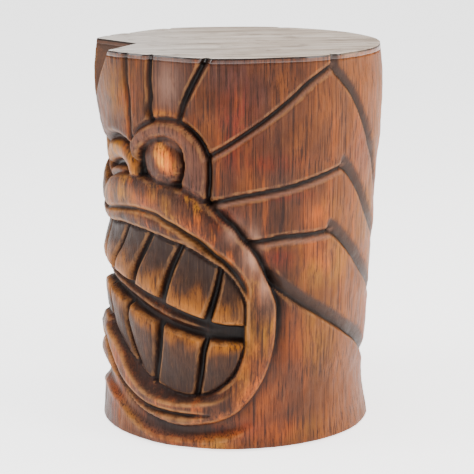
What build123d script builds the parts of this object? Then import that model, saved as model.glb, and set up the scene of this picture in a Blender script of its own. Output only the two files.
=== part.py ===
from build123d import *
import os
import numpy as np

os.makedirs("parts", exist_ok=True)

# ---------------------------------------------------------------------------------------------
# Driving dimensions, in millimetres and degrees.
# The stool stands on z = 0 and is centred on the Z axis. The face looks along -Y, and angles
# round the drum are counted from the face.
# ---------------------------------------------------------------------------------------------
HEIGHT = 445.0              # floor to seat
FLOOR_GAP = 2.0             # rim of the carved shell above the floor
SEAT_PANEL = 6.0            # lacquered panel on top
SHELL_TOP = HEIGHT - SEAT_PANEL

CAVITY_RADIUS = 136.0       # inside of the cast shell
NOTCH_WALL = 11.0           # material left behind the notch, measured along Y

BOARD_THICKNESS = 12.0      # seat board and base board
BOARD_RADIUS = 134.5
NOTCH_CLEARANCE = 2.0       # seat board to the material behind the notch
BASE_BOARD_Z = 8.0          # underside of the base board

BLOCK_WIDTH = 46.0          # glue blocks, along the shell
BLOCK_DEPTH = 32.0          # glue blocks, across the shell
BLOCK_HEIGHT = 28.0
BLOCK_ANGLES = (45, 135, 225, 315)

SCREW_RADIUS = 2.0
SCREW_FIT = 0.05            # drilled holes over the screw radius
SCREW_LENGTH = 34.0
SCREW_HEAD_RADIUS = 4.2
SCREW_HEAD_HEIGHT = 2.6
SCREW_TIP_RADIUS = 0.4
SLOT_WIDTH = 1.0            # driver slot in a screw head, and the chamfer of the head
SCREW_CIRCLE = 118.0        # radius that the block screws stand on

FOOT_RADIUS = 13.0
FOOT_RECESS_RADIUS = 6.0    # pocket for the screw head, in the underside of a foot
FOOT_RECESS_DEPTH = 4.0
FOOT_EDGE = 1.5             # rounding of a foot's lower edge
FOOT_CIRCLE = 88.0
FOOT_ANGLES = (45, 135, 225, 315)
FOOT_SCREW_LENGTH = 12.0

# Notch in the front of the rim: a V in plan whose valley runs outwards as it falls.
NOTCH_TIP = 116.0           # tip of the V from the axis, at the seat
NOTCH_SPREAD = 1.55         # half the width of the V gained per millimetre outwards
NOTCH_LEAN = 0.8            # millimetres that the valley moves outwards per millimetre of drop
NOTCH_DEPTH = 56.0          # drop from the seat to where the valley has run out of the drum
NARROWEST_OPENING = 0.1     # beside the notch its facets never come closer to the axis than this allows

# Points across and up one half of the carved surface
ANGLE_COUNT = 91
LEVEL_COUNT = 73

# Radius of the drum under the carving. Columns are degrees round from the face, rows are levels.
DRUM_ANGLES = (0, 25, 45, 65, 90, 120, 150, 180)
DRUM_RADII = {
    0: (161, 160, 159, 157, 153, 154, 156, 157),
    25: (158, 158, 157, 156, 152, 152, 152, 152),
    55: (155, 155, 156, 157, 154, 151, 149, 148),
    100: (154, 156, 158, 159, 157, 155, 152, 152),
    150: (154, 156, 159, 160, 159, 157, 155, 155),
    200: (155, 157, 159, 160, 160, 159, 158, 157),
    250: (151, 154, 157, 160, 161, 161, 161, 160),
    300: (150, 153, 157, 161, 162, 163, 163, 163),
    350: (157, 160, 160, 164, 163, 165, 167, 167),
    400: (165, 166, 162, 166, 163, 166, 168, 169),
    445: (163, 168, 161, 167, 161, 164, 165, 166),
}
ARC = np.pi / 180 * 158.0   # millimetres of surface per degree, for laying out the carving

# Carved lines: points are (degrees from the face centre, level), then width and depth.
GROOVES = {
    "forehead_inner": ([(32, 460), (32, 415), (33, 390), (32, 351)], 8, 6),
    "forehead_middle": ([(44, 460), (43, 420), (43, 385), (44, 375)], 8, 6),
    "forehead_outer": ([(70, 460), (62, 412), (57, 381)], 10, 7),
    "eye_arch": ([(34, 350), (40, 367), (50, 376), (60, 370), (66, 351), (69, 320), (68, 284)], 10, 8),
    "socket_arch": ([(34, 310), (36, 330), (44, 352), (50, 356), (56, 352), (59, 332), (56, 301)], 9, 7),
    "under_nose": ([(0, 284), (14, 296), (26, 306), (34, 310)], 9, 5),
    "leaf_1": ([(69, 338), (80, 357), (100, 397), (117, 430)], 9, 6),
    "leaf_1_back": ([(120, 460), (121, 432), (129, 402), (137, 368), (145, 336), (154, 298), (162, 250)], 10, 6),
    "leaf_2": ([(69, 285), (90, 298), (109, 308), (125, 319)], 9, 6),
    "leaf_2_back": ([(125, 319), (130, 307), (139, 280), (150, 246), (160, 215)], 12, 7),
    "leaf_3": ([(84, 241), (100, 247), (119, 248)], 9, 6),
    "leaf_3_back": ([(119, 248), (130, 224), (142, 195), (155, 163), (168, 133)], 12, 7),
    "leaf_4": ([(92, 199), (107, 167), (126, 135), (147, 104), (165, 70), (180, 58)], 15, 8),
    "upper_lip_crease": ([(0, 256), (14, 262), (36, 270), (55, 257), (71, 227), (84, 176)], 9, 5),
    "lower_lip_crease": ([(0, 108), (12, 90), (25, 60), (39, 45), (57, 41), (68, 42)], 9, 4),
    "chin_hollow": ([(0, 68), (20, 52), (33, 30), (50, 22), (66, 22), (80, 32)], 14, 4),
    "tooth_row": ([(0, 188), (13, 180), (30, 170), (47, 156), (65, 143), (83, 136)], 14, 11),
    "upper_gap_1": ([(24, 245), (20, 224), (14, 192)], 6, 6),
    "upper_gap_2": ([(41, 246), (37, 225), (30, 178)], 9, 9),
    "upper_gap_3": ([(57, 238), (53, 216), (47, 165)], 9, 9),
    "upper_gap_4": ([(73, 213), (72, 191), (68, 151)], 9, 9),
    "lower_gap_1": ([(27, 159), (26, 129), (33, 96)], 7, 8),
    "lower_gap_2": ([(46, 150), (45, 110), (42, 74)], 9, 9),
    "lower_gap_3": ([(68, 133), (66, 116), (63, 65)], 9, 9),
}

# Outline of the mouth opening and of the lips, from the centre line over the top to the chin.
MOUTH = [(0, 243), (22, 249), (42, 246), (59, 235), (73, 214), (80, 193), (84, 174), (83, 121),
         (77, 83), (67, 65), (57, 61), (48, 66), (30, 91), (17, 115), (11, 126), (0, 128)]
LIPS = [(0, 286), (12, 299), (35, 308), (55, 300), (69, 281), (82, 244), (92, 199), (96, 160),
        (95, 120), (87, 66), (73, 36), (54, 29), (44, 34), (26, 53), (12, 68), (0, 72)]
MOUTH_EDGE = (10, 9)        # width and depth of the cut round the teeth
LIP_EDGE = (10, 6)          # width and depth of the cut round the lips
LIP_RISE = 7.0

# Rounded bosses: centre (degrees, level), half sizes in millimetres, rise
EYEBALL = ((48, 326), (24, 30), 6.0)
NOSE_WING = ((17, 326), (44, 26), 5.0)


# ---------------------------------------------------------------------------------------------
# The carved surface
# ---------------------------------------------------------------------------------------------
def laid_flat(points):
    """Points in degrees and level, as millimetres along and up the surface."""
    flat = np.array(points, float)
    flat[:, 0] *= ARC
    return flat


def distance_to_line(along, level, points):
    """Distance from each surface point to a carved line."""
    line = laid_flat(points)
    nearest = np.full(along.shape, np.inf)
    for start, end in zip(line[:-1], line[1:]):
        run = end - start
        part = ((along - start[0]) * run[0] + (level - start[1]) * run[1]) / (run @ run)
        part = np.clip(part, 0, 1)
        away = np.hypot(along - start[0] - part * run[0], level - start[1] - part * run[1])
        nearest = np.minimum(nearest, away)
    return nearest


def inside_outline(along, level, points):
    """True where a surface point lies between an outline and the centre line."""
    outline = laid_flat(points)
    inside = np.zeros(along.shape, bool)
    for start, end in zip(outline, np.roll(outline, -1, axis=0)):
        if start[1] == end[1]:
            continue
        crosses = (start[1] > level) != (end[1] > level)
        edge = start[0] + (level - start[1]) / (end[1] - start[1]) * (end[0] - start[0])
        inside ^= crosses & (along < edge)
    return inside


def trench(distance, width, depth):
    """Rounded cut, deepest on its line and gone at its width."""
    across = np.clip(distance / width, 0, 1)
    return depth * (1 - across**2) ** 2


def boss(along, level, centre, half_size, rise):
    """Rounded bump."""
    across = ((along - centre[0] * ARC) / half_size[0]) ** 2 + ((level - centre[1]) / half_size[1]) ** 2
    return rise * np.clip(1 - across, 0, 1) ** 0.75


def smooth_between(values, places, at):
    """Cubic curve through the values stated at some places, read at other places."""
    slopes = np.gradient(values, places, axis=0)
    below = np.clip(np.searchsorted(places, at, side="right") - 1, 0, len(places) - 2)
    span = places[below + 1] - places[below]
    share = (at - places[below]) / span
    rise = values[below + 1] - values[below]
    eased = values[below] + rise * share**2 * (3 - 2 * share)
    leaving = slopes[below] * share * (1 - share) ** 2
    arriving = slopes[below + 1] * share**2 * (share - 1)
    return eased + span * (leaving + arriving)


def drum_radius(degrees, level):
    """Radius of the drum under the carving, curved smoothly through the stated radii."""
    stated = np.array(list(DRUM_RADII.values()), float)
    by_angle = smooth_between(stated, np.array(list(DRUM_RADII), float), level)
    return smooth_between(by_angle, np.array(DRUM_ANGLES, float), degrees)


def notch_radius(degrees, level):
    """Radius of the notch's two facets at one level, or a large radius beside them."""
    turn = np.radians(degrees)
    valley = NOTCH_TIP + (HEIGHT - level) * NOTCH_LEAN
    opening = np.cos(turn) - np.sin(turn) / NOTCH_SPREAD
    return valley / np.maximum(opening, NARROWEST_OPENING)


def carved_radius(degrees, level):
    """Radius of the carved surface at one level, for an array of angles."""
    along = degrees * ARC
    levels = np.full(along.shape, float(level))
    radius = drum_radius(degrees, level)
    to_mouth = distance_to_line(along, levels, MOUTH)
    to_lips = distance_to_line(along, levels, LIPS)
    on_lips = inside_outline(along, levels, LIPS) & ~inside_outline(along, levels, MOUTH)
    across_lip = to_mouth / (to_mouth + to_lips)
    radius = radius + on_lips * LIP_RISE * np.sqrt(4 * across_lip * (1 - across_lip))
    radius = radius + boss(along, levels, *EYEBALL) + boss(along, levels, *NOSE_WING)
    cut = np.maximum(trench(to_mouth, *MOUTH_EDGE), trench(to_lips, *LIP_EDGE))
    for points, width, depth in GROOVES.values():
        cut = np.maximum(cut, trench(distance_to_line(along, levels, points), width, depth))
    return np.minimum(radius - cut, notch_radius(degrees, level))


def carved_section(level):
    """Closed outline of the carved drum at one level: one side as a spline, and its mirror image."""
    degrees = np.linspace(0, 180, ANGLE_COUNT)
    radii = carved_radius(degrees, level)
    across = radii * np.sin(np.radians(degrees))
    across[-1] = 0.0
    ahead = -radii * np.cos(np.radians(degrees))
    right = [Vector(x, y, level) for x, y in zip(across, ahead)]
    left = [Vector(-point.X, point.Y, level) for point in reversed(right)]
    return Wire([Edge.make_spline(right), Edge.make_spline(left)])


def carved_drum(bottom, top, sections):
    """Solid carved drum between two levels, ruled from section to section."""
    return Solid.make_loft([carved_section(level) for level in np.linspace(bottom, top, sections)], ruled=True)


# ---------------------------------------------------------------------------------------------
# Pieces
# ---------------------------------------------------------------------------------------------
def disc(radius, bottom, thickness):
    """Round plate standing on a level."""
    return Pos(0, 0, bottom) * Cylinder(radius, thickness, align=(Align.CENTER, Align.CENTER, Align.MIN))


def around(angle, radius, level):
    """Place at an angle from the face, with its own X axis pointing outwards."""
    return Rot(0, 0, angle - 90) * Pos(radius, 0, level)


def notch_backing(clearance):
    """Leaning prism that keeps the hollow and the seat board clear of the notch."""
    tip = NOTCH_TIP - NOTCH_WALL - clearance
    reach = 2 * CAVITY_RADIUS - tip
    plan = Polygon((0, -tip), (reach * NOTCH_SPREAD, -tip - reach), (-reach * NOTCH_SPREAD, -tip - reach),
                   align=None)
    lean = Vector(0, -NOTCH_LEAN, -1)
    return extrude(Pos(0, 0, HEIGHT) * plan, amount=NOTCH_DEPTH * lean.length, dir=lean)


def carved_shell():
    """Hollow cast wall with all of the carving on it, open at both ends."""
    hollow = disc(CAVITY_RADIUS, FLOOR_GAP, SHELL_TOP - FLOOR_GAP) - notch_backing(0)
    return carved_drum(FLOOR_GAP, SHELL_TOP, LEVEL_COUNT) - hollow


def seat_top():
    """Flat panel that closes the top, with the carving running off its edge."""
    return carved_drum(SHELL_TOP, HEIGHT, 2)


def screw(length):
    """Pan-head screw pointing up: shank from z = 0, head below it."""
    shank = Cylinder(SCREW_RADIUS, length - SCREW_RADIUS, align=(Align.CENTER, Align.CENTER, Align.MIN))
    point = Pos(0, 0, length - SCREW_RADIUS) * Cone(
        SCREW_RADIUS, SCREW_TIP_RADIUS, SCREW_RADIUS, align=(Align.CENTER, Align.CENTER, Align.MIN))
    head = Cylinder(SCREW_HEAD_RADIUS, SCREW_HEAD_HEIGHT, align=(Align.CENTER, Align.CENTER, Align.MAX))
    head = chamfer(head.edges().sort_by(Axis.Z)[0], SLOT_WIDTH)
    slot = Pos(0, 0, -SCREW_HEAD_HEIGHT) * Box(2 * SCREW_HEAD_RADIUS, SLOT_WIDTH, 2 * SLOT_WIDTH)
    return shank + point + head - slot


def hole(length):
    """Drilled hole for a screw of this length."""
    return Cylinder(SCREW_RADIUS + SCREW_FIT, length + SCREW_FIT, align=(Align.CENTER, Align.CENTER, Align.MIN))


def ring_of(piece, angles, radius, level):
    """Copies of a piece round the axis."""
    return [around(angle, radius, level) * piece for angle in angles]


def glue_blocks(bottom, holes):
    """Blocks that fit the curve of the shell, drilled for their screws."""
    inside = disc(CAVITY_RADIUS, bottom, BLOCK_HEIGHT)
    blank = Box(2 * BLOCK_DEPTH, BLOCK_WIDTH, BLOCK_HEIGHT, align=(Align.CENTER, Align.CENTER, Align.MIN))
    blocks = []
    for place, drilled in zip(ring_of(blank, BLOCK_ANGLES, CAVITY_RADIUS, bottom), holes):
        blocks.append((place & inside) - drilled)
    return blocks


SEAT_BOARD_Z = SHELL_TOP - BOARD_THICKNESS
SEAT_BLOCK_Z = SEAT_BOARD_Z - BLOCK_HEIGHT
BASE_BLOCK_Z = BASE_BOARD_Z + BOARD_THICKNESS
FOOT_SCREW_Z = FOOT_RECESS_DEPTH

seat_holes = ring_of(hole(SCREW_LENGTH), BLOCK_ANGLES, SCREW_CIRCLE, SEAT_BLOCK_Z)
base_holes = ring_of(hole(SCREW_LENGTH), BLOCK_ANGLES, SCREW_CIRCLE, BASE_BOARD_Z)
foot_holes = ring_of(hole(FOOT_SCREW_LENGTH), FOOT_ANGLES, FOOT_CIRCLE, FOOT_SCREW_Z)

foot = Cylinder(FOOT_RADIUS, BASE_BOARD_Z, align=(Align.CENTER, Align.CENTER, Align.MIN))
foot = fillet(foot.edges().sort_by(Axis.Z)[0], FOOT_EDGE)
foot -= Cylinder(FOOT_RECESS_RADIUS, FOOT_RECESS_DEPTH, align=(Align.CENTER, Align.CENTER, Align.MIN))
foot -= Cylinder(SCREW_RADIUS + SCREW_FIT, BASE_BOARD_Z, align=(Align.CENTER, Align.CENTER, Align.MIN))

pieces = {
    "carved_shell": carved_shell(),
    "seat_top": seat_top(),
    "seat_board": disc(BOARD_RADIUS, SEAT_BOARD_Z, BOARD_THICKNESS) - notch_backing(NOTCH_CLEARANCE) - seat_holes,
    "seat_screws": Compound(ring_of(screw(SCREW_LENGTH), BLOCK_ANGLES, SCREW_CIRCLE, SEAT_BLOCK_Z)),
    "base_board": disc(BOARD_RADIUS, BASE_BOARD_Z, BOARD_THICKNESS) - base_holes - foot_holes,
    "base_screws": Compound(ring_of(screw(SCREW_LENGTH), BLOCK_ANGLES, SCREW_CIRCLE, BASE_BOARD_Z)),
    "foot_screws": Compound(ring_of(screw(FOOT_SCREW_LENGTH), FOOT_ANGLES, FOOT_CIRCLE, FOOT_SCREW_Z)),
}
for number, block in enumerate(glue_blocks(SEAT_BLOCK_Z, seat_holes), start=1):
    pieces[f"seat_block_{number}"] = block
for number, block in enumerate(glue_blocks(BASE_BLOCK_Z, base_holes), start=1):
    pieces[f"base_block_{number}"] = block
for number, rubber in enumerate(ring_of(foot, FOOT_ANGLES, FOOT_CIRCLE, 0), start=1):
    pieces[f"foot_{number}"] = rubber

for name, piece in pieces.items():
    export_step(piece, f"parts/{name}.step")
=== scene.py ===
import math

import bpy
import numpy as np
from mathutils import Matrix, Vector


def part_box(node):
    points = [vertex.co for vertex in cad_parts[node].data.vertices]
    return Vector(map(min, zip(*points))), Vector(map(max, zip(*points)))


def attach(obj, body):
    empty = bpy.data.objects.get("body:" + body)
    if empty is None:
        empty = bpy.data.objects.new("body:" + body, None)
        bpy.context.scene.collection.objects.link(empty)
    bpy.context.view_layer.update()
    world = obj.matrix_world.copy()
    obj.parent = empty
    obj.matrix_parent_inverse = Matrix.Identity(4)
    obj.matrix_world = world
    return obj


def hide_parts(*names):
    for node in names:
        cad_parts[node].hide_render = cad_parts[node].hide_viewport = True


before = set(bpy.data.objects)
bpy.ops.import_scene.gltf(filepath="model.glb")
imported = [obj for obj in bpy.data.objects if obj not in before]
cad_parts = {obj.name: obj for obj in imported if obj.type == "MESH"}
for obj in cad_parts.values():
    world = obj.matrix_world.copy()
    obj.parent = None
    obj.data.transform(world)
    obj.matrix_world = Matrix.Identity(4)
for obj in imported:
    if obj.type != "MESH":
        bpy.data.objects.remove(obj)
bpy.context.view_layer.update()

MM = 0.001

# ------------------------------------------------------------
# Sizes from the frame
# ------------------------------------------------------------
SHELL_LOW, SHELL_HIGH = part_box("carved_shell")
_, SEAT_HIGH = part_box("seat_top")
_, BOARD_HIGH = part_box("base_board")

# From here on the carving is in millimetres
HEIGHT = SEAT_HIGH.z / MM
SHELL_BOTTOM = SHELL_LOW.z / MM
SHELL_TOP = SHELL_HIGH.z / MM
BOARD_CLEARANCE = 1.5                   # base board to the inner wall
CAVITY_RADIUS = BOARD_HIGH.x / MM + BOARD_CLEARANCE
THINNEST_WALL = 3.0                     # left behind the deepest carving
WALL_AT_NOTCH = 8.0
INNER_LEVELS = (SHELL_TOP, 425, 410, 395, 380, 365, 180, SHELL_BOTTOM)      # close together behind the notch


# ------------------------------------------------------------
# Camera and light, in metres and degrees round from the face
# ------------------------------------------------------------
CAMERA_TURN = 80.0
CAMERA_DISTANCE = 2.085
CAMERA_HEIGHT = 0.680
AIM_HEIGHT = 0.213
LENS = 137.1                # mm, on the sensor width below
SENSOR_WIDTH = 36.0
FAR_CLIP = 50.0
LIGHT_AIM_HEIGHT = 0.22
SKY_STRENGTH = 0.38
FLOOR_REACH = 20.0
FLOOR_GAP = 0.0005          # under the feet, so that the two faces don't share a plane
FLOOR_GLOW = 2.4


def place_around(degrees, distance, height):
    """Point at an angle round from the face, in metres."""
    turn = math.radians(degrees)
    return Vector((distance * math.sin(turn), -distance * math.cos(turn), height))


def aim(thing, target):
    """Turns a camera or light to look at a point."""
    thing.rotation_euler = (Vector(target) - thing.location).to_track_quat("-Z", "Y").to_euler()


def add_camera():
    data = bpy.data.cameras.new("camera")
    data.lens = LENS
    data.sensor_width = SENSOR_WIDTH
    data.clip_end = FAR_CLIP
    camera = bpy.data.objects.new("camera", data)
    bpy.context.scene.collection.objects.link(camera)
    camera.location = place_around(CAMERA_TURN, CAMERA_DISTANCE, CAMERA_HEIGHT)
    aim(camera, (0, 0, AIM_HEIGHT))
    bpy.context.scene.camera = camera


def add_light(name, degrees, distance, height, size, power, colour=(1, 1, 1)):
    data = bpy.data.lights.new(name, "AREA")
    data.shape = "RECTANGLE"
    data.size, data.size_y = size
    data.energy = power
    data.color = colour
    light = bpy.data.objects.new(name, data)
    bpy.context.scene.collection.objects.link(light)
    light.location = place_around(degrees, distance, height)
    aim(light, (0, 0, LIGHT_AIM_HEIGHT))


add_camera()
# name, degrees, distance, height, (width, height of the panel), power, colour
add_light("key", 138, 2.2, 1.2, (0.9, 1.6), 42)
add_light("fill", 5, 2.2, 1.2, (1.0, 1.6), 38)
add_light("top", 60, 0.4, 2.6, (2.2, 2.2), 58)
add_light("rim", 178, 2.2, 0.9, (0.7, 1.5), 30, (1.0, 0.74, 0.52))

world = bpy.data.worlds.new("studio")
bpy.context.scene.world = world
world.use_nodes = True
sky = world.node_tree.nodes["Background"]
sky.inputs["Color"].default_value = (1, 1, 1, 1)
sky.inputs["Strength"].default_value = SKY_STRENGTH

# ------------------------------------------------------------
# The drum under the carving: radius by level (rows) and by degrees round from the face (columns)
# ------------------------------------------------------------
DRUM_ANGLES = (0, 25, 45, 65, 90, 120, 150, 180)
DRUM_RADII = {
    0: (161, 160, 159, 157, 153, 154, 156, 157),
    25: (158, 158, 157, 156, 152, 152, 152, 152),
    55: (155, 155, 156, 157, 154, 151, 149, 148),
    100: (154, 156, 158, 159, 157, 155, 152, 152),
    150: (154, 156, 159, 160, 159, 157, 155, 155),
    200: (155, 157, 159, 160, 160, 159, 158, 157),
    250: (151, 154, 157, 160, 161, 161, 161, 160),
    300: (150, 153, 157, 161, 162, 163, 163, 163),
    350: (157, 160, 160, 164, 163, 165, 167, 167),
    400: (165, 166, 162, 166, 163, 166, 168, 169),
    445: (163, 168, 161, 167, 161, 164, 165, 166),
}
ARC = math.pi / 180 * 158.0             # millimetres of surface per degree

# The V notch in the rim
NOTCH_TIP = 116.0
NOTCH_SPREAD = 1.55
NOTCH_LEAN = 0.8

# Outlines from the centre line over the top and round to the chin: (degrees, level)
MOUTH = [(-4, 242), (2, 243), (12, 246), (22, 249), (34, 248), (42, 246), (53, 239), (59, 235), (64, 229),
         (73, 214), (77, 204), (80, 193), (83.5, 174), (83.5, 146), (83, 121), (80, 95), (77, 83), (73, 73),
         (67, 65), (57, 61), (48, 66), (39, 75), (30, 91), (23, 102), (17, 115), (11, 127), (4, 131),
         (-4, 131)]
LIPS = [(-6, 287), (0, 288), (6, 294), (13, 300), (24, 306), (35, 308), (44, 305), (55, 300), (60, 297),
        (65, 288), (69, 281), (75, 265), (78, 258), (82, 244), (87, 227), (92, 199), (94, 186), (96, 169),
        (96, 145), (95, 120), (92, 92), (87, 66), (80, 46), (73, 36), (64, 30), (54, 28), (44, 33), (35, 41),
        (26, 53), (17, 66), (8, 72), (-6, 72)]
SOCKET = [(35, 306), (34.5, 316), (36, 330), (39, 342), (44, 352), (50, 356), (55, 353), (58, 345), (59, 334),
          (59, 319), (57.5, 307), (56, 299), (46, 304)]

UPPER_CREASE = [(-6, 256), (4, 258), (14, 263), (27, 268), (36, 270), (45, 268), (50, 262), (55, 257),
                (60, 249), (65, 241), (71, 227), (75, 219), (80, 203), (83, 189), (84.5, 174)]
LOWER_CREASE = [(-6, 106), (4, 102), (12, 90), (20, 70), (25, 60), (31, 52), (39, 45), (47, 42), (57, 41),
                (69, 43)]
LOWER_RIDGE = [(6, 118), (12, 112), (18, 104), (24, 91), (29, 76), (34, 65), (39, 59), (44, 55), (50, 53),
               (57, 53), (66, 56), (73, 61), (80, 74)]
UPPER_TEETH_EDGE = [(-8, 190), (1, 190), (13, 188), (24, 183), (30, 181), (40, 174), (47, 169), (50, 165),
                    (58, 158), (67, 151), (75, 146), (88, 144)]
LOWER_TEETH_EDGE = [(-8, 173), (0, 173), (9, 170), (18, 166), (25, 161), (36, 153), (43, 147), (48, 143),
                    (55, 139), (65, 133), (68, 131), (79, 129), (90, 128)]
NOSE_LINE = [(-9, 300), (-4, 311), (2, 321), (10, 328.5), (19, 332), (26, 329), (30.5, 321), (32, 312)]
NOSTRIL_LINE = [(-5, 299), (4, 308), (12, 312.5), (21, 314), (27.5, 309)]
CHIN_HOLLOW = [(-4, 60), (14, 50), (26, 33), (38, 23), (52, 18), (66, 20), (78, 27), (86, 42)]
CHIN_RIDGE = [(-4, 46), (17, 38), (23, 31), (30, 22), (40, 12), (50, 9), (60, 10), (70, 12), (80, 18),
              (88, 30), (91, 42)]

# Line between the two rows of teeth, carried on round the back, which the rows of the mesh follow
ROW_LINE = [(0, 181), (13, 180), (24, 173), (40, 163), (50, 154), (67, 142), (80, 137), (97, 135), (135, 160),
            (180, 160)]

# Gaps between teeth: points, half width at the first and last point
TOOTH_GAPS = [
    ([(0, 252), (0, 183)], 0.8, 1.2),
    ([(25, 250), (20, 224), (15, 204), (13, 183)], 0.6, 1.2),
    ([(42, 250), (37, 225), (33, 205), (29, 176)], 1.0, 4.2),
    ([(58, 243), (53, 216), (50, 196), (46.5, 163)], 1.0, 4.2),
    ([(74, 218), (72, 191), (70, 171), (67, 145)], 1.4, 3.2),
    ([(7, 176), (8, 150), (11, 124)], 1.0, 1.0),
    ([(27.5, 165), (25.5, 144), (26.5, 129), (29, 111), (33, 90)], 2.6, 0.8),
    ([(46.5, 150), (46, 130), (45, 110), (41.5, 66)], 3.6, 2.2),
    ([(68.5, 137), (66, 116), (65, 95), (62.5, 58)], 2.4, 1.8),
]

# Chisel cuts: points, width of the steep side, width of the sloping side, depth, depth at start and end
# (share). The sloping side lies to the right of the line as it is drawn.
CUTS = {
    "forehead_inner": ([(32, 470), (32, 431), (32, 416), (33, 395), (33, 380), (32, 349)],
                       3.5, 4.5, 6.0, 1, 0.8),
    "forehead_middle": ([(44, 470), (43, 420), (43.5, 400), (43, 385), (44.5, 373)], 3.5, 4.0, 6.5, 1, 0.9),
    "forehead_outer": ([(57, 379), (59, 396), (62.5, 415), (68.5, 446), (73, 470)], 4.0, 6.5, 7.5, 0.8, 1),
    "eye_arch": ([(33, 350), (36, 360), (40, 367), (45, 373.5), (50, 376), (56, 375), (60.5, 370),
                  (64, 362), (67, 351), (69, 336), (69.5, 320), (69, 300), (68, 281)],
                 3.0, 4.5, 9.0, 0.7, 1),
    "leaf_1": ([(69, 338), (75, 348), (80, 357), (90, 376), (100, 397), (109, 417), (118, 432)],
               2.6, 7.0, 6.5, 0.9, 1),
    "leaf_2": ([(69, 285), (80, 293), (90, 298), (100, 302), (109, 308), (119, 315), (125.5, 319.5)],
               2.4, 8.0, 6.0, 1, 1),
    "leaf_3": ([(84, 241), (90, 244), (100, 247), (110, 247.5), (119.5, 249)], 2.4, 10.0, 6.5, 1, 1),
    "leaf_1_back": ([(169, 225), (163, 255), (158, 282), (154, 298), (150, 319), (145, 336), (141, 352),
                     (137, 368), (133, 386), (129, 402), (124, 416), (119.5, 432), (119, 470)],
                    2.0, 10.0, 6.0, 0, 1),
    "leaf_2_back": ([(173, 170), (166, 200), (158, 227), (150, 247), (144, 263), (139, 280), (131, 306),
                     (125.5, 319.5)], 2.0, 13.0, 7.0, 0, 1),
    "leaf_3_back": ([(178, 112), (170, 133), (161, 158), (150, 181), (142, 197), (130, 226), (119.5, 249)],
                    2.0, 14.0, 7.0, 0, 1),
    "leaf_4": ([(182, 56), (172, 63), (162, 78), (147, 104), (132, 126), (119, 147), (107, 167), (100, 180),
                (95, 190), (91, 199)], 2.0, 15.0, 8.0, 0.8, 1),
}


# Stain and painted light by place: (degrees, level, reach round, reach up, strength)
STAINS_AND_PAINTED_LIGHT = {
    "red": [(80, 372, 7, 45, 0.9), (92, 330, 16, 10, 0.5), (76, 268, 5, 14, 0.7), (97, 225, 8, 12, 0.7),
            (85, 26, 8, 10, 0.6), (52, 380, 9, 6, 0.6), (100, 292, 12, 5, 0.5), (74, 24, 7, 6, 0.7),
            (140, 330, 10, 30, 0.4), (12, 40, 8, 20, 0.4), (52, 70, 16, 5, 0.5)],
    # Painted highlight and reflection on the forehead panel and the lip corner
    "painted_sheen": [(52, 415, 6, 24, 0.22), (86, 232, 3.2, 22, 0.8), (79, 256, 3.5, 12, 0.5),
              (91, 195, 2.6, 18, 0.5)],
    # Ochre and orange dry-brush spots, partly painted highlight on lit tops and flanks
    "brushed_and_highlight": [(160, 235, 11, 180, 0.6), (120, 212, 12, 24, 1.0), (116, 268, 8, 14, 0.8),
               (112, 236, 14, 6, 0.5), (20, 284, 22, 9, 0.95), (42, 284, 9, 10, 0.8), (10, 262, 16, 4, 0.7),
               (8, 250, 20, 3, 0.7), (60, 262, 8, 8, 0.35), (84, 128, 3, 50, 0.75), (48, 52, 10, 3, 0.5),
               (20, 88, 6, 14, 0.6), (70, 8, 9, 8, 0.8), (50, 381, 7, 4, 0.8), (90, 60, 10, 30, 0.35),
               (25, 400, 14, 30, 0.45), (112, 130, 16, 40, 0.4), (100, 20, 14, 14, 0.5),
               (150, 250, 12, 40, 0.5), (16, 60, 14, 14, 0.5), (92, 120, 5, 40, 0.5), (30, 46, 10, 8, 0.5)],
    # Greyer patches: partly a grey-purple wash, partly painted reflection on the forehead panel
    "grey_and_reflection": [(52, 408, 7, 28, 0.8), (78, 424, 9, 18, 0.7), (88, 400, 14, 34, 0.45), (87, 240, 5, 8, 0.6),
             (60, 290, 12, 12, 0.4), (50, 22, 14, 8, 1.0), (28, 40, 8, 10, 0.8), (45, 312, 9, 10, 0.7),
             (92, 165, 4, 12, 0.7)],
    # Darker patches: partly darker stain, partly painted shade beside the eye and the lips
    "deep": [(114, 85, 14, 60, 0.5), (95, 266, 10, 18, 0.65), (50, 298, 12, 10, 0.9), (30, 300, 10, 5, 0.6),
             (105, 60, 16, 60, 0.35), (78, 416, 10, 24, 0.55), (95, 288, 14, 10, 0.4),
             (110, 215, 6, 8, 0.4), (88, 225, 4, 14, 0.6), (100, 100, 5, 60, 0.6)],
}


# ------------------------------------------------------------
# Measuring on the flattened surface
# ------------------------------------------------------------
def smooth_line(points, step=3.0):
    """Even, rounded line through given points, in millimetres along and up the surface."""
    flat = np.array(points, float) * (ARC, 1.0)
    padded = np.vstack([2 * flat[0] - flat[1], flat, 2 * flat[-1] - flat[-2]])
    line = []
    for before, start, end, after in zip(padded[:-3], padded[1:-2], padded[2:-1], padded[3:]):
        count = max(2, int(np.hypot(*(end - start)) / step))
        for share in np.linspace(0, 1, count, endpoint=False):
            line.append(0.5 * (2 * start + (end - before) * share
                               + (2 * before - 5 * start + 4 * end - after) * share**2
                               + (3 * start - before - 3 * end + after) * share**3))
    line.append(flat[-1])
    return np.array(line)


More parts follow.
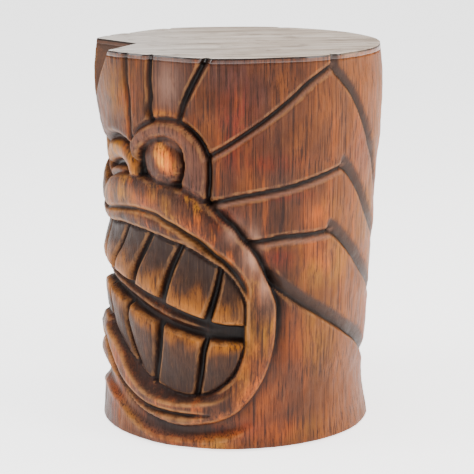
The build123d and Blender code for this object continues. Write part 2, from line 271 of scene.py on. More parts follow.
def follow(along, level, points, reach=30.0):
    """For each surface point: distance to the line, share of the way along it, and side (+1 is left)."""
    line = smooth_line(points)
    lengths = np.hypot(*np.diff(line, axis=0).T)
    travelled = np.concatenate([[0], np.cumsum(lengths)])
    distance = np.full(along.shape, 1e3)
    share = np.zeros(along.shape)
    side = np.ones(along.shape)
    near = ((along > line[:, 0].min() - reach) & (along < line[:, 0].max() + reach)
            & (level > line[:, 1].min() - reach) & (level < line[:, 1].max() + reach))
    x, y = along[near], level[near]
    best, best_share, best_side = distance[near], share[near], side[near]
    for start, end, length, gone in zip(line[:-1], line[1:], lengths, travelled):
        run = end - start
        part = np.clip(((x - start[0]) * run[0] + (y - start[1]) * run[1]) / (run @ run), 0, 1)
        off_x, off_y = x - start[0] - part * run[0], y - start[1] - part * run[1]
        away = np.hypot(off_x, off_y)
        closer = away < best
        best = np.where(closer, away, best)
        best_share = np.where(closer, (gone + part * length) / travelled[-1], best_share)
        best_side = np.where(closer, np.sign(run[0] * off_y - run[1] * off_x), best_side)
    distance[near], share[near], side[near] = best, best_share, best_side
    return distance, share, side


def inside_outline(along, level, points):
    """True where a surface point lies inside a closed outline."""
    line = smooth_line(points)
    inside = np.zeros(along.shape, bool)
    for start, end in zip(line, np.roll(line, -1, axis=0)):
        if start[1] == end[1]:
            continue
        crosses = (start[1] > level) != (end[1] > level)
        edge = start[0] + (level - start[1]) / (end[1] - start[1]) * (end[0] - start[0])
        inside ^= crosses & (along < edge)
    return inside


def smoothstep(low, high, value):
    share = np.clip((value - low) / (high - low), 0, 1)
    return share * share * (3 - 2 * share)


def cubic(values, places, at):
    """Cubic through table values, for an array of places."""
    places = np.array(places, float)
    slopes = np.gradient(values, places, axis=0)
    index = np.clip(np.searchsorted(places, at, side="right") - 1, 0, len(places) - 2)
    span = places[index + 1] - places[index]
    t = (at - places[index]) / span
    if values.ndim > 1:
        t, span = t[:, None], span[:, None]
    return ((2 * t**3 - 3 * t**2 + 1) * values[index] + (t**3 - 2 * t**2 + t) * span * slopes[index]
            + (3 * t**2 - 2 * t**3) * values[index + 1] + (t**3 - t**2) * span * slopes[index + 1])


def drum(degrees, levels):
    """Radius of the drum under the carving, rows by level and columns by angle."""
    rows = sorted(DRUM_RADII)
    table = np.array([DRUM_RADII[row] for row in rows], float)
    by_level = cubic(table, rows, levels)
    return np.array([cubic(row, DRUM_ANGLES, degrees) for row in by_level])


def spread_average(values, columns, rows):
    """Local average over a window of grid cells, mirrored at the edges."""
    for axis, half in ((1, columns), (0, rows)):
        pad = [(0, 0), (0, 0)]
        pad[axis] = (half + 1, half)
        total = np.cumsum(np.pad(values, pad, mode="reflect"), axis=axis)
        size = 2 * half + 1
        upper = np.take(total, range(size, total.shape[axis]), axis=axis)
        lower = np.take(total, range(0, total.shape[axis] - size), axis=axis)
        values = (upper - lower) / size
    return values


def waves(along, level, seed, size, count=14):
    """Soft irregular field between about -1 and 1, from a few seeded sine waves."""
    random = np.random.default_rng(seed)
    total = np.zeros(along.shape)
    for _ in range(count):
        turn = random.uniform(0, 2 * math.pi)
        pitch = size * random.uniform(0.6, 1.8)
        phase = random.uniform(0, 2 * math.pi)
        total += np.sin(2 * math.pi * (along * math.cos(turn) + level * math.sin(turn)) / pitch + phase)
    return total / math.sqrt(count)


# ------------------------------------------------------------
# The carving
# ------------------------------------------------------------
MOUTH_CORNER = 130              # level that parts the upper lip from the lower one
PAST_CENTRE = -40               # outlines that cross the centre line are carried on to this angle
MOUTH_DEPTH = 12.0              # floor of the mouth under the drum
EYE_CENTRE = (48.0, 327.0)      # degrees, level
EYE_HALF_SIZE = (27.0, 30.0)
NOSE_PEAK = 151.5               # radius of the nose at the centre line
NOSE_HALF_WIDTH = 14.0
NOTCH_ROUNDING = 1.2            # where the notch meets the forehead
NARROWEST_OPENING = 0.1         # beside the notch its facets never come closer to the axis than this allows
NOWHERE = 1000.0                # stands for a radius that is never reached


def rolled(share, power=2.2):
    """Rounded profile across a band: 0 at both sides, 1 in the middle."""
    return np.clip(1 - np.abs(2 * np.clip(share, 0, 1) - 1) ** power, 0, 1) ** 0.62


def across(near, far):
    """Share of the way from one line to another, from the distances to both."""
    return near / np.maximum(near + far, 0.1)


def bell(distance, width):
    """Rounded bump over a line: 1 on it, fading out over the width."""
    return np.exp(-((distance / width) ** 2))


def falling(distance, reach, start=1):
    """Straight slope from a value on a line down to 0 at its reach, no higher than 1."""
    return np.clip(start - distance / reach, 0, 1)


def fading(low, high, value):
    """1 up to the low value, easing to 0 at the high one."""
    return 1 - smoothstep(low, high, value)


def leaning_levels(degrees, levels):
    """Level of every grid point: near the mouth the rows lean to follow the line between the teeth."""
    line_degrees, line_levels = np.array(ROW_LINE, float).T
    lean = np.interp(degrees, line_degrees, line_levels) - line_levels[-1]
    reach = 12
    average = np.ones(2 * reach + 1) / (2 * reach + 1)
    lean = np.convolve(np.pad(lean, reach, mode="edge"), average, mode="valid")
    strength = smoothstep(26, 120, levels) * fading(205, 380, levels)
    return levels[:, None] + strength[:, None] * lean


class Carving:
    """One half of the carved skin on a grid of levels by degrees: height over the drum, and paint masks."""

    def __init__(self, degrees, levels):
        self.degrees = degrees
        self.level = leaning_levels(degrees, levels)
        self.along = np.broadcast_to(degrees * ARC, self.level.shape)
        self.angle = self.along / ARC
        upright = drum(degrees, levels)
        self.base = np.empty(self.level.shape)
        for column in range(len(degrees)):
            self.base[:, column] = np.interp(self.level[:, column], levels, upright[:, column])
        self.height = np.zeros(self.level.shape)
        self.paint = {}

        self.to_mouth, _, _ = self.follow(MOUTH, 80)
        self.to_lips, self.lips_share, _ = self.follow(LIPS, 80)
        self.in_mouth = self.inside(MOUTH + [(PAST_CENTRE, 131), (PAST_CENTRE, 242)])
        self.in_lips = self.inside(LIPS + [(PAST_CENTRE, 72), (PAST_CENTRE, 287)])
        self.on_lips = self.in_lips & ~self.in_mouth
        self.above_corner = self.level > MOUTH_CORNER

    def follow(self, points, reach=30.0):
        return follow(self.along, self.level, points, reach)

    def inside(self, points):
        return inside_outline(self.along, self.level, points)

    def waves(self, seed, size):
        return waves(self.along, self.level, seed, size)

    def lip_rolls(self):
        """One fat roll at the corner, split by a crease into an outer and an inner roll above and below."""
        self.upper_crease, self.upper_share, self.upper_side = self.follow(UPPER_CREASE, 80)
        self.lower_crease, self.lower_share, self.lower_side = self.follow(LOWER_CREASE, 80)
        to_mouth, to_lips = self.to_mouth, self.to_lips
        single = 6.2 * rolled(across(to_mouth, to_lips), 2.4)

        outer_roll = 7.0 * rolled(across(to_lips, self.upper_crease), 2.3)
        inner_roll = 4.5 * rolled(across(self.upper_crease, to_mouth)) - 2.0 * falling(to_mouth, 14)
        creased = np.where(self.upper_side > 0, outer_roll, inner_roll)
        split = fading(0.80, 0.99, self.upper_share) * self.above_corner
        upper_lip = single + (creased - single) * split

        outer_roll = 6.5 * rolled(across(to_lips, self.lower_crease), 2.0)
        inner_roll = 6.5 * rolled(across(self.lower_crease, to_mouth * 0.6), 2.0)
        creased = np.where(self.lower_side < 0, outer_roll, inner_roll)
        split = fading(0.85, 0.99, self.lower_share) * (self.level < MOUTH_CORNER)
        lower_lip = single + (creased - single) * split
        self.height = np.where(self.on_lips, np.where(self.above_corner, upper_lip, lower_lip), 0.0)

    def cut_round_lips(self):
        """Deep from the eye round to the leaf, then a soft valley, then under the chin."""
        share, to_lips = self.lips_share, self.to_lips
        beside = ~self.in_lips
        deep = smoothstep(0.24, 0.34, share) * fading(0.47, 0.58, share)
        valley = smoothstep(0.47, 0.58, share) * fading(0.74, 0.80, share)
        under = smoothstep(0.74, 0.80, share) * fading(0.88, 0.97, share)
        self.height -= np.where(beside, deep * 9.0 * falling(to_lips, 15.0) ** 1.1, 0)
        self.height -= np.where(beside, valley * 3.0 * falling(to_lips, 30.0) ** 1.4, 0)
        self.height -= np.where(beside, under * 6.5 * falling(to_lips, 17.0) ** 1.2, 0)
        self.height -= np.where(beside & (share < 0.3), 5.0 * falling(to_lips, 9.0) ** 1.2, 0)
        shadow = deep * falling(to_lips, 9.0, 1.4) + 0.8 * under * falling(to_lips, 9.0, 1.15)
        self.paint["lip_shadow"] = beside * (shadow + 0.35 * valley * falling(to_lips, 16.0))

    def lip_creases(self):
        upper_share, lower_share, on_lips = self.upper_share, self.lower_share, self.on_lips
        width = 2.2 + 5.5 * smoothstep(0.48, 0.85, upper_share) * fading(0.90, 1.0, upper_share)
        groove = falling(self.upper_crease, width)
        strength = fading(0.94, 1, upper_share)
        depth = 2.0 + 6.5 * smoothstep(0.45, 0.80, upper_share)
        self.height -= np.where(on_lips, groove**0.8 * depth * strength, 0)
        # Painted shade in the upper and lower creases
        darkness = 0.6 + 0.4 * smoothstep(0.4, 0.7, upper_share)
        upper_paint = on_lips * np.clip(groove * 1.5, 0, 1) * darkness * strength

        width = 3.4 * np.sin(np.clip(lower_share * 0.9 + 0.1, 0, 1) * math.pi) ** 0.5 + 1.0
        groove = falling(self.lower_crease, width)
        self.height -= np.where(on_lips, groove**0.8 * 3.2, 0)
        lower_paint = on_lips * np.clip(groove * 1.6, 0, 1) * 0.85
        self.paint["crease"] = np.maximum(upper_paint, lower_paint)

    def lip_ridges(self):
        """The inner lower lip slopes in above its ridge, and fine pale lines, partly painted highlight, run
        along the lips.
        """
        ridge, share, side = self.follow(LOWER_RIDGE)
        fade = fading(0.80, 1, share) * smoothstep(0, 0.04, share)
        inner_slope = self.on_lips & (side > 0)
        self.height -= np.where(inner_slope, np.minimum(ridge * 0.75, 7.0) * fade, 0)
        self.height += np.where(self.on_lips, 1.2 * bell(ridge, 2.4) * fade, 0)

        beside_lower = bell(self.lower_crease - 4.5, 1.5) * fading(0.8, 1, self.lower_share)
        beside_upper = bell(self.upper_crease - 4.0, 1.4) * smoothstep(0.1, 0.4, self.upper_share)
        beside_upper = beside_upper * fading(0.7, 0.9, self.upper_share)
        mouth_rim = 0.7 * bell(self.to_mouth - 1.8, 1.3) * self.above_corner
        lines = np.maximum(np.maximum(beside_upper, mouth_rim), beside_lower)
        self.paint["ridge"] = np.maximum(bell(ridge, 1.7) * fade, lines) * self.on_lips

        inner_upper = self.on_lips * (self.upper_side < 0) * self.above_corner
        inner_upper = inner_upper * fading(0.8, 1, self.upper_share) * smoothstep(12, 2, self.to_mouth)
        self.paint["inner_lip"] = np.maximum(inner_slope * fade * smoothstep(0, 5, ridge), inner_upper)
        self.paint["lip"] = self.on_lips * smoothstep(0, 4, np.minimum(self.to_lips, self.to_mouth))

    def teeth(self):
        """Rounded blocks between the gaps, over the floor of the mouth, which is painted near black as shade.
        """
        upper_edge, _, upper_side = self.follow(UPPER_TEETH_EDGE, 120)
        lower_edge, _, lower_side = self.follow(LOWER_TEETH_EDGE, 120)
        upper = self.in_mouth & (upper_side > 0)
        lower = self.in_mouth & (lower_side < 0)
        room = np.where(upper, upper_edge, np.where(lower, lower_edge, 0.0))
        soft = np.minimum(room, 2.5 * self.to_mouth - 0.5)
        for points, start_width, end_width in TOOTH_GAPS:
            distance, share, _ = self.follow(points, 60)
            soft = np.minimum(soft, distance - start_width - (end_width - start_width) * share)
        block = 1 - 0.78 * falling(soft, 4.5) ** 2.2 - 0.22 * falling(soft, 16.0) ** 2.0
        upper_lean = 1.5 - 5.5 * smoothstep(10, 60, upper_edge)
        lower_lean = 1.0 - 5.0 * smoothstep(12, 68, lower_edge)
        lean = np.where(upper, upper_lean, lower_lean)
        tooth = (upper | lower) & (soft > 0)
        between = 1 - np.clip(np.abs(upper_edge - lower_edge) / 12.0, 0, 1)
        floor_height = -MOUTH_DEPTH + 6.0 * between * ~(upper | lower) * smoothstep(80, 45, self.angle)
        mouth_height = np.where(tooth, -MOUTH_DEPTH + (MOUTH_DEPTH + lean) * block, floor_height)
        self.height = np.where(self.in_mouth, mouth_height, self.height)

        self.paint["tooth"] = tooth * smoothstep(0, 3.0, soft)
        # Painted shade on the mouth floor, lighter where the front of the floor is lit
        lit_floor = ~(upper | lower) * smoothstep(70, 45, self.angle) * (0.35 + 0.4 * between)
        self.paint["floor"] = self.in_mouth * fading(0.2, 2.2, soft) * (1 - lit_floor)
        uneven = 5.0 * self.waves(8, 26)
        upper_fade = np.where(upper, fading(4, 40, upper_edge + uneven), 0)
        lower_fade = np.where(lower, fading(2, 22, lower_edge + 0.7 * uneven), 0)
        self.paint["bite"] = tooth * np.maximum(upper_fade, lower_fade) * smoothstep(0.5, 5, soft)
        upper_root = smoothstep(8, 60, upper_edge + uneven)
        lower_root = 0.8 * smoothstep(4, 50, lower_edge + uneven)
        self.paint["root"] = tooth * np.where(upper, upper_root, lower_root)
        # Painted shade on the teeth just under the lips
        upper_shade, lower_shade = fading(1, 7, self.to_mouth), 0.7 * fading(1, 5, self.to_mouth)
        self.paint["shade_under_lip"] = tooth * np.where(upper, upper_shade, lower_shade)

    def eye(self):
        """Lid band, deep pockets, and a bulging eyeball with a chiselled lower part."""
        arch_points = CUTS["eye_arch"][0]
        to_socket, _, _ = self.follow(SOCKET)
        in_socket = self.inside(SOCKET) & ~self.in_lips
        arch, _, _ = self.follow(arch_points)
        lid_across = across(to_socket, arch)
        in_arch = self.inside(arch_points + [(60, 294), (44, 300), (34, 306)])
        lid = in_arch & ~in_socket & ~self.in_lips
        self.height += np.where(lid, 5.5 * rolled(lid_across, 2.0), 0)
        ball_along = (self.angle - EYE_CENTRE[0]) * ARC / EYE_HALF_SIZE[0]
        ball_up = (self.level - EYE_CENTRE[1]) / EYE_HALF_SIZE[1]
        bulge = 16.0 * np.sqrt(np.clip(1.15 - (ball_along**2 + ball_up**2), 0, 1)) - 12.0
        over_ball = smoothstep(336, 349, self.level)
        eye = np.maximum(-10.0 + 0.25 * to_socket + 8.5 * over_ball, bulge)
        chisel = 1.3 * self.waves(5, 13) * np.maximum(smoothstep(328, 312, self.level), 0.5 * over_ball)
        self.height = np.where(in_socket, eye + chisel, self.height)
        self.in_socket, self.lid = in_socket, lid

        self.paint["lid"] = lid * rolled(lid_across, 2.0)
        patch_along, patch_up = (self.angle - 50.5) * ARC, self.level - 332.0
        patch_across = (0.5 * patch_along - 0.86 * patch_up) / 17.0
        patch_down = (0.86 * patch_along + 0.5 * patch_up) / 10.0
        self.paint["eye"] = in_socket * np.exp(-((patch_across**2 + patch_down**2) ** 2))
        self.paint["eyeball"] = in_socket * smoothstep(-7.0, 0.5, bulge)
        # Painted shade in the deep pocket round the eyeball
        self.paint["pocket"] = in_socket * fading(-9.5, -4.0, bulge) * (1 - over_ball)

    def nose(self):
        """One fat tube arched over each nostril."""
        tube, share, _ = self.follow(NOSE_LINE)
        size = NOSE_HALF_WIDTH - 2.5 * smoothstep(0.7, 1.0, share)
        peak = NOSE_PEAK + 9.0 * smoothstep(12, 36, self.angle) - self.base
        tube_height = peak - 13.0 * (1 - np.sqrt(np.clip(1 - (tube / size) ** 2, 0, 1)))
        in_lips, in_socket = self.in_lips, self.in_socket
        nose = (tube < size) & ~in_lips
        trench = (4.0 + 8.0 * smoothstep(2, 14, self.angle)) * bell(tube - size, 5.5)
        self.height -= np.where(~nose & ~in_lips & ~in_socket & ~self.lid & (tube < 30), trench, 0)
        self.height = np.where(nose, np.maximum(-trench - 3.0, tube_height), self.height)
        self.in_nose = nose

        nostril, nostril_share, _ = self.follow(NOSTRIL_LINE)
        self.height -= np.where(~in_lips, 8.0 * bell(nostril, 3.6) * fading(0.9, 1, nostril_share), 0)
        self.paint["nose"] = nose * smoothstep(13, 5, tube)
        # Painted shade in the nostril groove and in the trench beside the nose
        self.paint["nostril"] = np.clip(1.1 * bell(nostril, 2.8), 0, 1) * ~in_lips
        self.paint["trench"] = ~in_lips * ~in_socket * ~nose * bell(tube - size - 1, 3.2) * (self.level > 318)

    def chin(self):
        """A hollow under the lip and a raised ridge below it."""
        beside = ~self.in_lips
        hollow, share, _ = self.follow(CHIN_HOLLOW)
        self.height -= np.where(beside, 3.5 * bell(hollow, 7.0) * fading(0.85, 1, share), 0)
        ridge, share, _ = self.follow(CHIN_RIDGE)
        self.height += np.where(beside, 2.6 * bell(ridge, 4.5) * fading(0.8, 1, share), 0)
        self.paint["chin"] = bell(ridge, 4.0) * fading(0.85, 1, share) * beside

    def forehead(self):
        """The middle of the forehead is set back a little behind the panels over the ears."""
        side_line = smoothstep(66, 58, self.angle - (self.level - 400) * 0.12)
        self.height -= 3.0 * side_line * smoothstep(372, 384, self.level) * smoothstep(40, 46, self.angle)

    def chisel_cuts(self):
        """Cuts with one steep and one sloping side. Those of the leaves' lower edges are wide facets."""
        cut_paint = np.zeros(self.level.shape)
        bevel_paint = np.zeros(self.level.shape)
        bevel_highlight_paint = np.zeros(self.level.shape)
        protected = self.in_lips | self.in_socket | self.in_nose
        for name, (points, steep, slope, depth, start_depth, end_depth) in CUTS.items():
            distance, share, side = self.follow(points)
            steep = steep + 2.5 * smoothstep(134, 150, self.angle)      # softer where columns are wide apart
            width = np.where(side < 0, slope, steep)
            fall = depth * (start_depth + (end_depth - start_depth) * smoothstep(0, 0.3, share))
            profile = falling(distance, width)
            facet = "back" in name or name == "leaf_4"
            if facet:
                past_corner = points[-1][0] * ARC - self.along if points[-1][0] < points[0][0] else 0
                profile = profile * np.where(share > 0.995, fading(-1.0, 3.0, past_corner), 1)
            strength = np.where(protected, 0, fall / depth)
            if name == "eye_arch":
                strength = strength * (0.5 + 0.5 * smoothstep(0.33, 0.58, share))
                self.height = self.height - np.where(protected, 0, np.maximum(self.height, 0) * profile**0.5)
            self.height = self.height - depth * strength * profile

            # Painted shade along each cut, darkest on its steep side
            dark_share = 0.12 if facet else 0.42 if "leaf" in name else 0.7
            dark_width = np.where(side < 0, slope * dark_share, steep)
            cut_paint = np.maximum(cut_paint, strength**1.4 * falling(distance, dark_width, 1.5))
            if facet:
                bevel_paint = np.maximum(bevel_paint, strength * smoothstep(0.0, 0.12, profile) * (side < 0))
            elif "leaf" in name:
                # Painted highlight on the sloping side of the leaf cuts
                pale_bevel = smoothstep(0.0, 0.15, profile) * fading(0.45, 0.6, profile)
                bevel_highlight_paint = np.maximum(bevel_highlight_paint, strength * pale_bevel * (side < 0))
        self.paint["cut"] = cut_paint
        self.paint["bevel"] = bevel_paint
        self.paint["wear_and_highlight"] = bevel_highlight_paint

    def notch(self, radius):
        """Cuts the V notch, rounded where it meets the forehead."""
        turn = np.radians(self.degrees)
        opening = np.cos(turn) - np.sin(turn) / NOTCH_SPREAD
        valley = NOTCH_TIP + (HEIGHT - self.level) * NOTCH_LEAN
        facets = valley / np.maximum(opening, NARROWEST_OPENING)
        facets = np.where(opening > NARROWEST_OPENING, facets, NOWHERE)
        gap = np.clip(facets - radius, -NOTCH_ROUNDING, NOTCH_ROUNDING)
        self.paint["notch"] = smoothstep(-0.5, 1.5, radius - facets)
        return np.minimum(radius, facets) - (NOTCH_ROUNDING - np.abs(gap)) ** 2 / (4 * NOTCH_ROUNDING)

    def stains_and_painted_light(self):
        """Places where the colour is redder, brighter, paler, greyer or darker: red stain, and patches that
        are partly paint and partly painted highlight, reflection and shade.
        """
        for name, spots in STAINS_AND_PAINTED_LIGHT.items():
            total = np.zeros(self.level.shape)
            for spot_angle, spot_level, spot_width, spot_height, strength in spots:
                turn_off = (self.angle - spot_angle) / spot_width
                level_off = (self.level - spot_level) / spot_height
                total = np.maximum(total, strength * np.exp(-(turn_off**2 + level_off**2)))
            self.paint[name] = total
        # Painted light: from 95 degrees round, the side toward the key light is lighter and more orange
        self.paint["tan"] = smoothstep(95, 135, self.angle)

    def finished(self):
        """Radius of the carved skin and the paint masks, after all the carving in its order."""
        self.lip_rolls()
        self.cut_round_lips()
        self.lip_creases()
        self.lip_ridges()
        self.teeth()
        self.eye()
        self.nose()
        self.chin()
        self.forehead()
        self.chisel_cuts()
        self.height += 0.5 * self.waves(2, 60) + 0.16 * self.waves(3, 18)       # hand-worked unevenness
        radius = self.notch(np.maximum(self.base + self.height, CAVITY_RADIUS + THINNEST_WALL))
        self.stains_and_painted_light()
        return radius, self.paint


def halve(values):
    """Every second row and column of a fine grid, each a weighted average of its neighbours."""
    for axis in (0, 1):
        pad = [(0, 0), (0, 0)]
        pad[axis] = (1, 1)
        padded = np.pad(values, pad, mode="reflect")
        size = values.shape[axis]
        before = np.take(padded, range(0, size, 2), axis=axis)
        middle = np.take(padded, range(1, size + 1, 2), axis=axis)
        after = np.take(padded, range(2, size + 2, 2), axis=axis)
        values = (before + 2 * middle + after) / 4
    return values


def twice_as_fine(places):
    """The same places with one more between each two."""
    return np.interp(np.arange(2 * len(places) - 1) / 2, np.arange(len(places)), places)


def carve(degrees, levels):
    """The carved surface on the grid of the mesh, averaged from one twice as fine."""
    fine_degrees = twice_as_fine(degrees)
    fine_levels = twice_as_fine(levels)
    radius, paint = Carving(fine_degrees, fine_levels).finished()
    return halve(radius), {name: halve(values * 1.0) for name, values in paint.items()}


def shade(radius, paint):
    """Adds painted shade in the hollows and paler raised edges, partly wear and partly painted highlight,
    read from the shape itself at two scales.
    """
    full_hollow, full_edge = 4.5, 1.0           # millimetres under and over the local average
    # Painted shade: the deeper below the local average, the darker
    paint["hollow"] = np.clip((spread_average(radius, 6, 5) - radius) / full_hollow, 0, 1)
    # Paler raised edges: partly wear, partly painted highlight
    paint["edge"] = np.clip((radius - spread_average(radius, 2, 2)) / full_edge, 0, 1)
    return paint


# ------------------------------------------------------------
# Grid and meshes
# ------------------------------------------------------------
def half_angles():
    """Columns of one half: close together over the face, wider apart round the back."""
    face = np.linspace(0, 99, 160, endpoint=False)
    leaves = np.linspace(99, 142, 50, endpoint=False)
    return np.concatenate([face, leaves, np.linspace(142, 180, 27)])


def shell_levels():
    """Rows of the shell: closest together over the face."""
    base = np.linspace(SHELL_BOTTOM, 24, 7, endpoint=False)
    face = np.linspace(24, 382, 172, endpoint=False)
    return np.concatenate([base, face, np.linspace(382, SHELL_TOP, 23)])


def mirrored(half):
    """Both sides from one half: columns run from just past -180 degrees round to 180."""
    return np.concatenate([half[..., -2:0:-1], half], axis=-1)


HALF = half_angles()
ANGLES = np.radians(np.concatenate([-HALF[-2:0:-1], HALF]))
COLUMNS = len(ANGLES)


def ring(radii, level):
    """One ring of points, in metres. The level is one number or one for each column."""
    heights = np.broadcast_to(np.asarray(level, float), radii.shape)
    return np.stack([radii * np.sin(ANGLES), -radii * np.cos(ANGLES), heights], axis=-1) * MM


def band_faces(first_ring, rings, flip=False):
    """Quads between neighbouring rings of points."""
    near = np.arange(COLUMNS)
    far = (near + 1) % COLUMNS
    faces = []
    for row in range(first_ring, first_ring + rings - 1):
        low, high = row * COLUMNS, (row + 1) * COLUMNS
        quad = np.stack([low + near, low + far, high + far, high + near], axis=-1)
        faces.append(quad[:, ::-1] if flip else quad)
    return np.concatenate(faces)


def make_object(name, points, faces, masks=None, extra_faces=()):
    mesh = bpy.data.meshes.new(name)
    mesh.from_pydata(points.tolist(), [], faces.tolist() + [tuple(face) for face in extra_faces])
    mesh.update()
    for mask, values in (masks or {}).items():
        layer = mesh.attributes.new(mask, "FLOAT", "POINT")
        layer.data.foreach_set("value", np.ascontiguousarray(values, dtype=np.float32))
    mesh.polygons.foreach_set("use_smooth", np.ones(len(mesh.polygons), bool))
    piece = bpy.data.objects.new(name, mesh)
    bpy.context.scene.collection.objects.link(piece)
    return piece


def build_shell():
    """The cast shell: carved skin, rims and a plain inner wall, as one closed mesh."""
    levels = shell_levels()
    half_radius, half_paint = carve(HALF, levels)
    half_paint = shade(half_radius, half_paint)
    radius = mirrored(half_radius)
    bevel_in, bevel_up = 1.5, 0.8               # broken edge of the bottom rim
    outer = [ring(radius[0] - bevel_in, SHELL_BOTTOM)]
    leaning = mirrored(leaning_levels(HALF, levels))
    leaning[0] += bevel_up
    outer += [ring(row, level) for row, level in zip(radius, leaning)]
    inner = []
    for level in INNER_LEVELS:
        row = radius[np.abs(levels - level).argmin()]
        inner.append(ring(np.minimum(CAVITY_RADIUS, row - WALL_AT_NOTCH), level))
    points = np.concatenate(outer + inner)
    rings = len(outer) + len(inner)
    faces = band_faces(0, rings)
    near = np.arange(COLUMNS)
    far = (near + 1) % COLUMNS
    last = (rings - 1) * COLUMNS
    closing = np.stack([last + near, last + far, far, near], axis=-1)
    masks = {}
    for name, values in half_paint.items():
        full = mirrored(values.astype(float))
        masks[name] = np.concatenate([full[0], full.ravel(), np.zeros(len(inner) * COLUMNS)])
    return make_object("carved_shell_detail", points, np.concatenate([faces, closing]), masks)


def build_seat():
    """The seat panel: carving runs up its edge, with a small round over to the flat top."""
    levels = np.array([SHELL_TOP, SHELL_TOP + 1.5, SHELL_TOP + 3.0, HEIGHT - 1.2, HEIGHT - 0.4, HEIGHT])
    half_radius, half_paint = carve(HALF, levels)
    # On the seat edge the painted shade follows the cuts at half strength, and there are no paler raised
    # edges
    half_paint["hollow"] = half_paint["cut"] * 0.5
    half_paint["edge"] = half_paint["cut"] * 0.0
    radius = mirrored(half_radius)
    radius[-2] -= 0.25                          # the round over
    radius[-1] -= 0.9
    under_edge = radius[0] - 6.0
    rings = [ring(under_edge, SHELL_TOP)] + [ring(row, level) for row, level in zip(radius, levels)]
    shares = [0.985, 0.96, 0.9, 0.8, 0.65, 0.48, 0.3, 0.14, 0.04]
    rings += [ring(radius[-1] * share, HEIGHT) for share in shares]
    under = [ring(under_edge * share, SHELL_TOP) for share in (0.04, 0.5)]
    points = np.concatenate(under + rings)
    faces = band_faces(0, len(under) + len(rings))
    top_cap = list(range(len(points) - COLUMNS, len(points)))
    bottom_cap = list(range(COLUMNS))[::-1]
    masks = {}
    for name, values in half_paint.items():
        full = mirrored(values.astype(float))
        masks[name] = np.concatenate([np.zeros(3 * COLUMNS), full.ravel(), np.zeros(len(shares) * COLUMNS)])
    return make_object("seat_top_detail", points, faces, masks, [top_cap, bottom_cap])


# ------------------------------------------------------------
# Materials
# ------------------------------------------------------------
class Shader:
    """Small helper for building a node material."""

    def __init__(self, name):
        self.material = bpy.data.materials.new(name)
        self.material.use_nodes = True
        self.tree = self.material.node_tree
        self.surface = self.tree.nodes["Principled BSDF"]

    def node(self, kind, **settings):
        node = self.tree.nodes.new(kind)
        for key, value in settings.items():
            setattr(node, key, value)
        return node

    def join(self, source, target):
        self.tree.links.new(source, target)

    def put(self, value, socket):
        if isinstance(value, bpy.types.NodeSocket):
            self.join(value, socket)
        else:
            socket.default_value = value

    def position(self):
        return self.node("ShaderNodeTexCoord").outputs["Object"]

    def mask(self, name):
        return self.node("ShaderNodeAttribute", attribute_name=name).outputs["Fac"]

    def stretch(self, vector, scale):
        node = self.node("ShaderNodeMapping")
        self.join(vector, node.inputs["Vector"])
        node.inputs["Scale"].default_value = scale
        return node.outputs["Vector"]

    def noise(self, vector, scale, detail=4.0, roughness=0.55, distortion=0.0):
        node = self.node("ShaderNodeTexNoise")
        self.join(vector, node.inputs["Vector"])
        node.inputs["Scale"].default_value = scale
        node.inputs["Detail"].default_value = detail
        node.inputs["Roughness"].default_value = roughness
        node.inputs["Distortion"].default_value = distortion
        return node.outputs["Fac"]

    def math(self, kind, first, second=0.0, clamp=False):
        node = self.node("ShaderNodeMath", operation=kind, use_clamp=clamp)
        self.put(first, node.inputs[0])
        self.put(second, node.inputs[1])
        return node.outputs[0]

    def times(self, first, second, clamp=False):
        return self.math("MULTIPLY", first, second, clamp)

    def most(self, first, second):
        return self.math("MAXIMUM", first, second)

    def between(self, value, low, high, out_low=0.0, out_high=1.0):
        node = self.node("ShaderNodeMapRange", interpolation_type="SMOOTHSTEP")
        self.put(value, node.inputs["Value"])
        node.inputs["From Min"].default_value = low
        node.inputs["From Max"].default_value = high
        node.inputs["To Min"].default_value = out_low
        node.inputs["To Max"].default_value = out_high
        return node.outputs["Result"]

    def mix(self, share, first, second, blend="MIX"):
        node = self.node("ShaderNodeMix", data_type="RGBA", blend_type=blend)
        self.put(share, node.inputs["Factor"])
        self.put(first, node.inputs["A"])
        self.put(second, node.inputs["B"])
        return node.outputs["Result"]

    def brush(self, colour, mask, strength, stain):
        """Lays a stain over the colour where a mask says, at a strength that is a number or a pattern."""
        return self.mix(self.times(self.mask(mask), strength), colour, stain)

    def ramp(self, value, stops):
        node = self.node("ShaderNodeValToRGB")
        self.join(value, node.inputs["Fac"])
        ramp = node.color_ramp
        while len(ramp.elements) < len(stops):
            ramp.elements.new(0.5)
        for element, (place, colour) in zip(ramp.elements, stops):
            element.position = place
            element.color = (*colour, 1)
        return node.outputs["Color"]

    def bump(self, height, strength, distance, before=None):
        node = self.node("ShaderNodeBump")
        node.inputs["Strength"].default_value = strength
        node.inputs["Distance"].default_value = distance
        self.join(height, node.inputs["Height"])
        if before is not None:
            self.join(before, node.inputs["Normal"])
        return node.outputs["Normal"]

    def finish(self, colour, roughness, normal=None, **constants):
        self.put(colour, self.surface.inputs["Base Color"])
        self.put(roughness, self.surface.inputs["Roughness"])
        if normal is not None:
            self.join(normal, self.surface.inputs["Normal"])
        for name, value in constants.items():
            self.surface.inputs[name.replace("_", " ")].default_value = value
        return self.material


BLACK_BROWN = (0.0040, 0.0020, 0.0015, 1)
DEEP_BROWN = (0.017, 0.0046, 0.0022, 1)
MAUVE = (0.080, 0.029, 0.0155, 1)
RED = (0.22, 0.016, 0.004, 1)
ORANGE = (0.48, 0.088, 0.0030, 1)
OCHRE = (0.38, 0.132, 0.0040, 1)
AMBER = (0.34, 0.098, 0.0022, 1)
EYE_ORANGE = (0.80, 0.150, 0.0040, 1)
YELLOW = (1.0, 0.40, 0.012, 1)
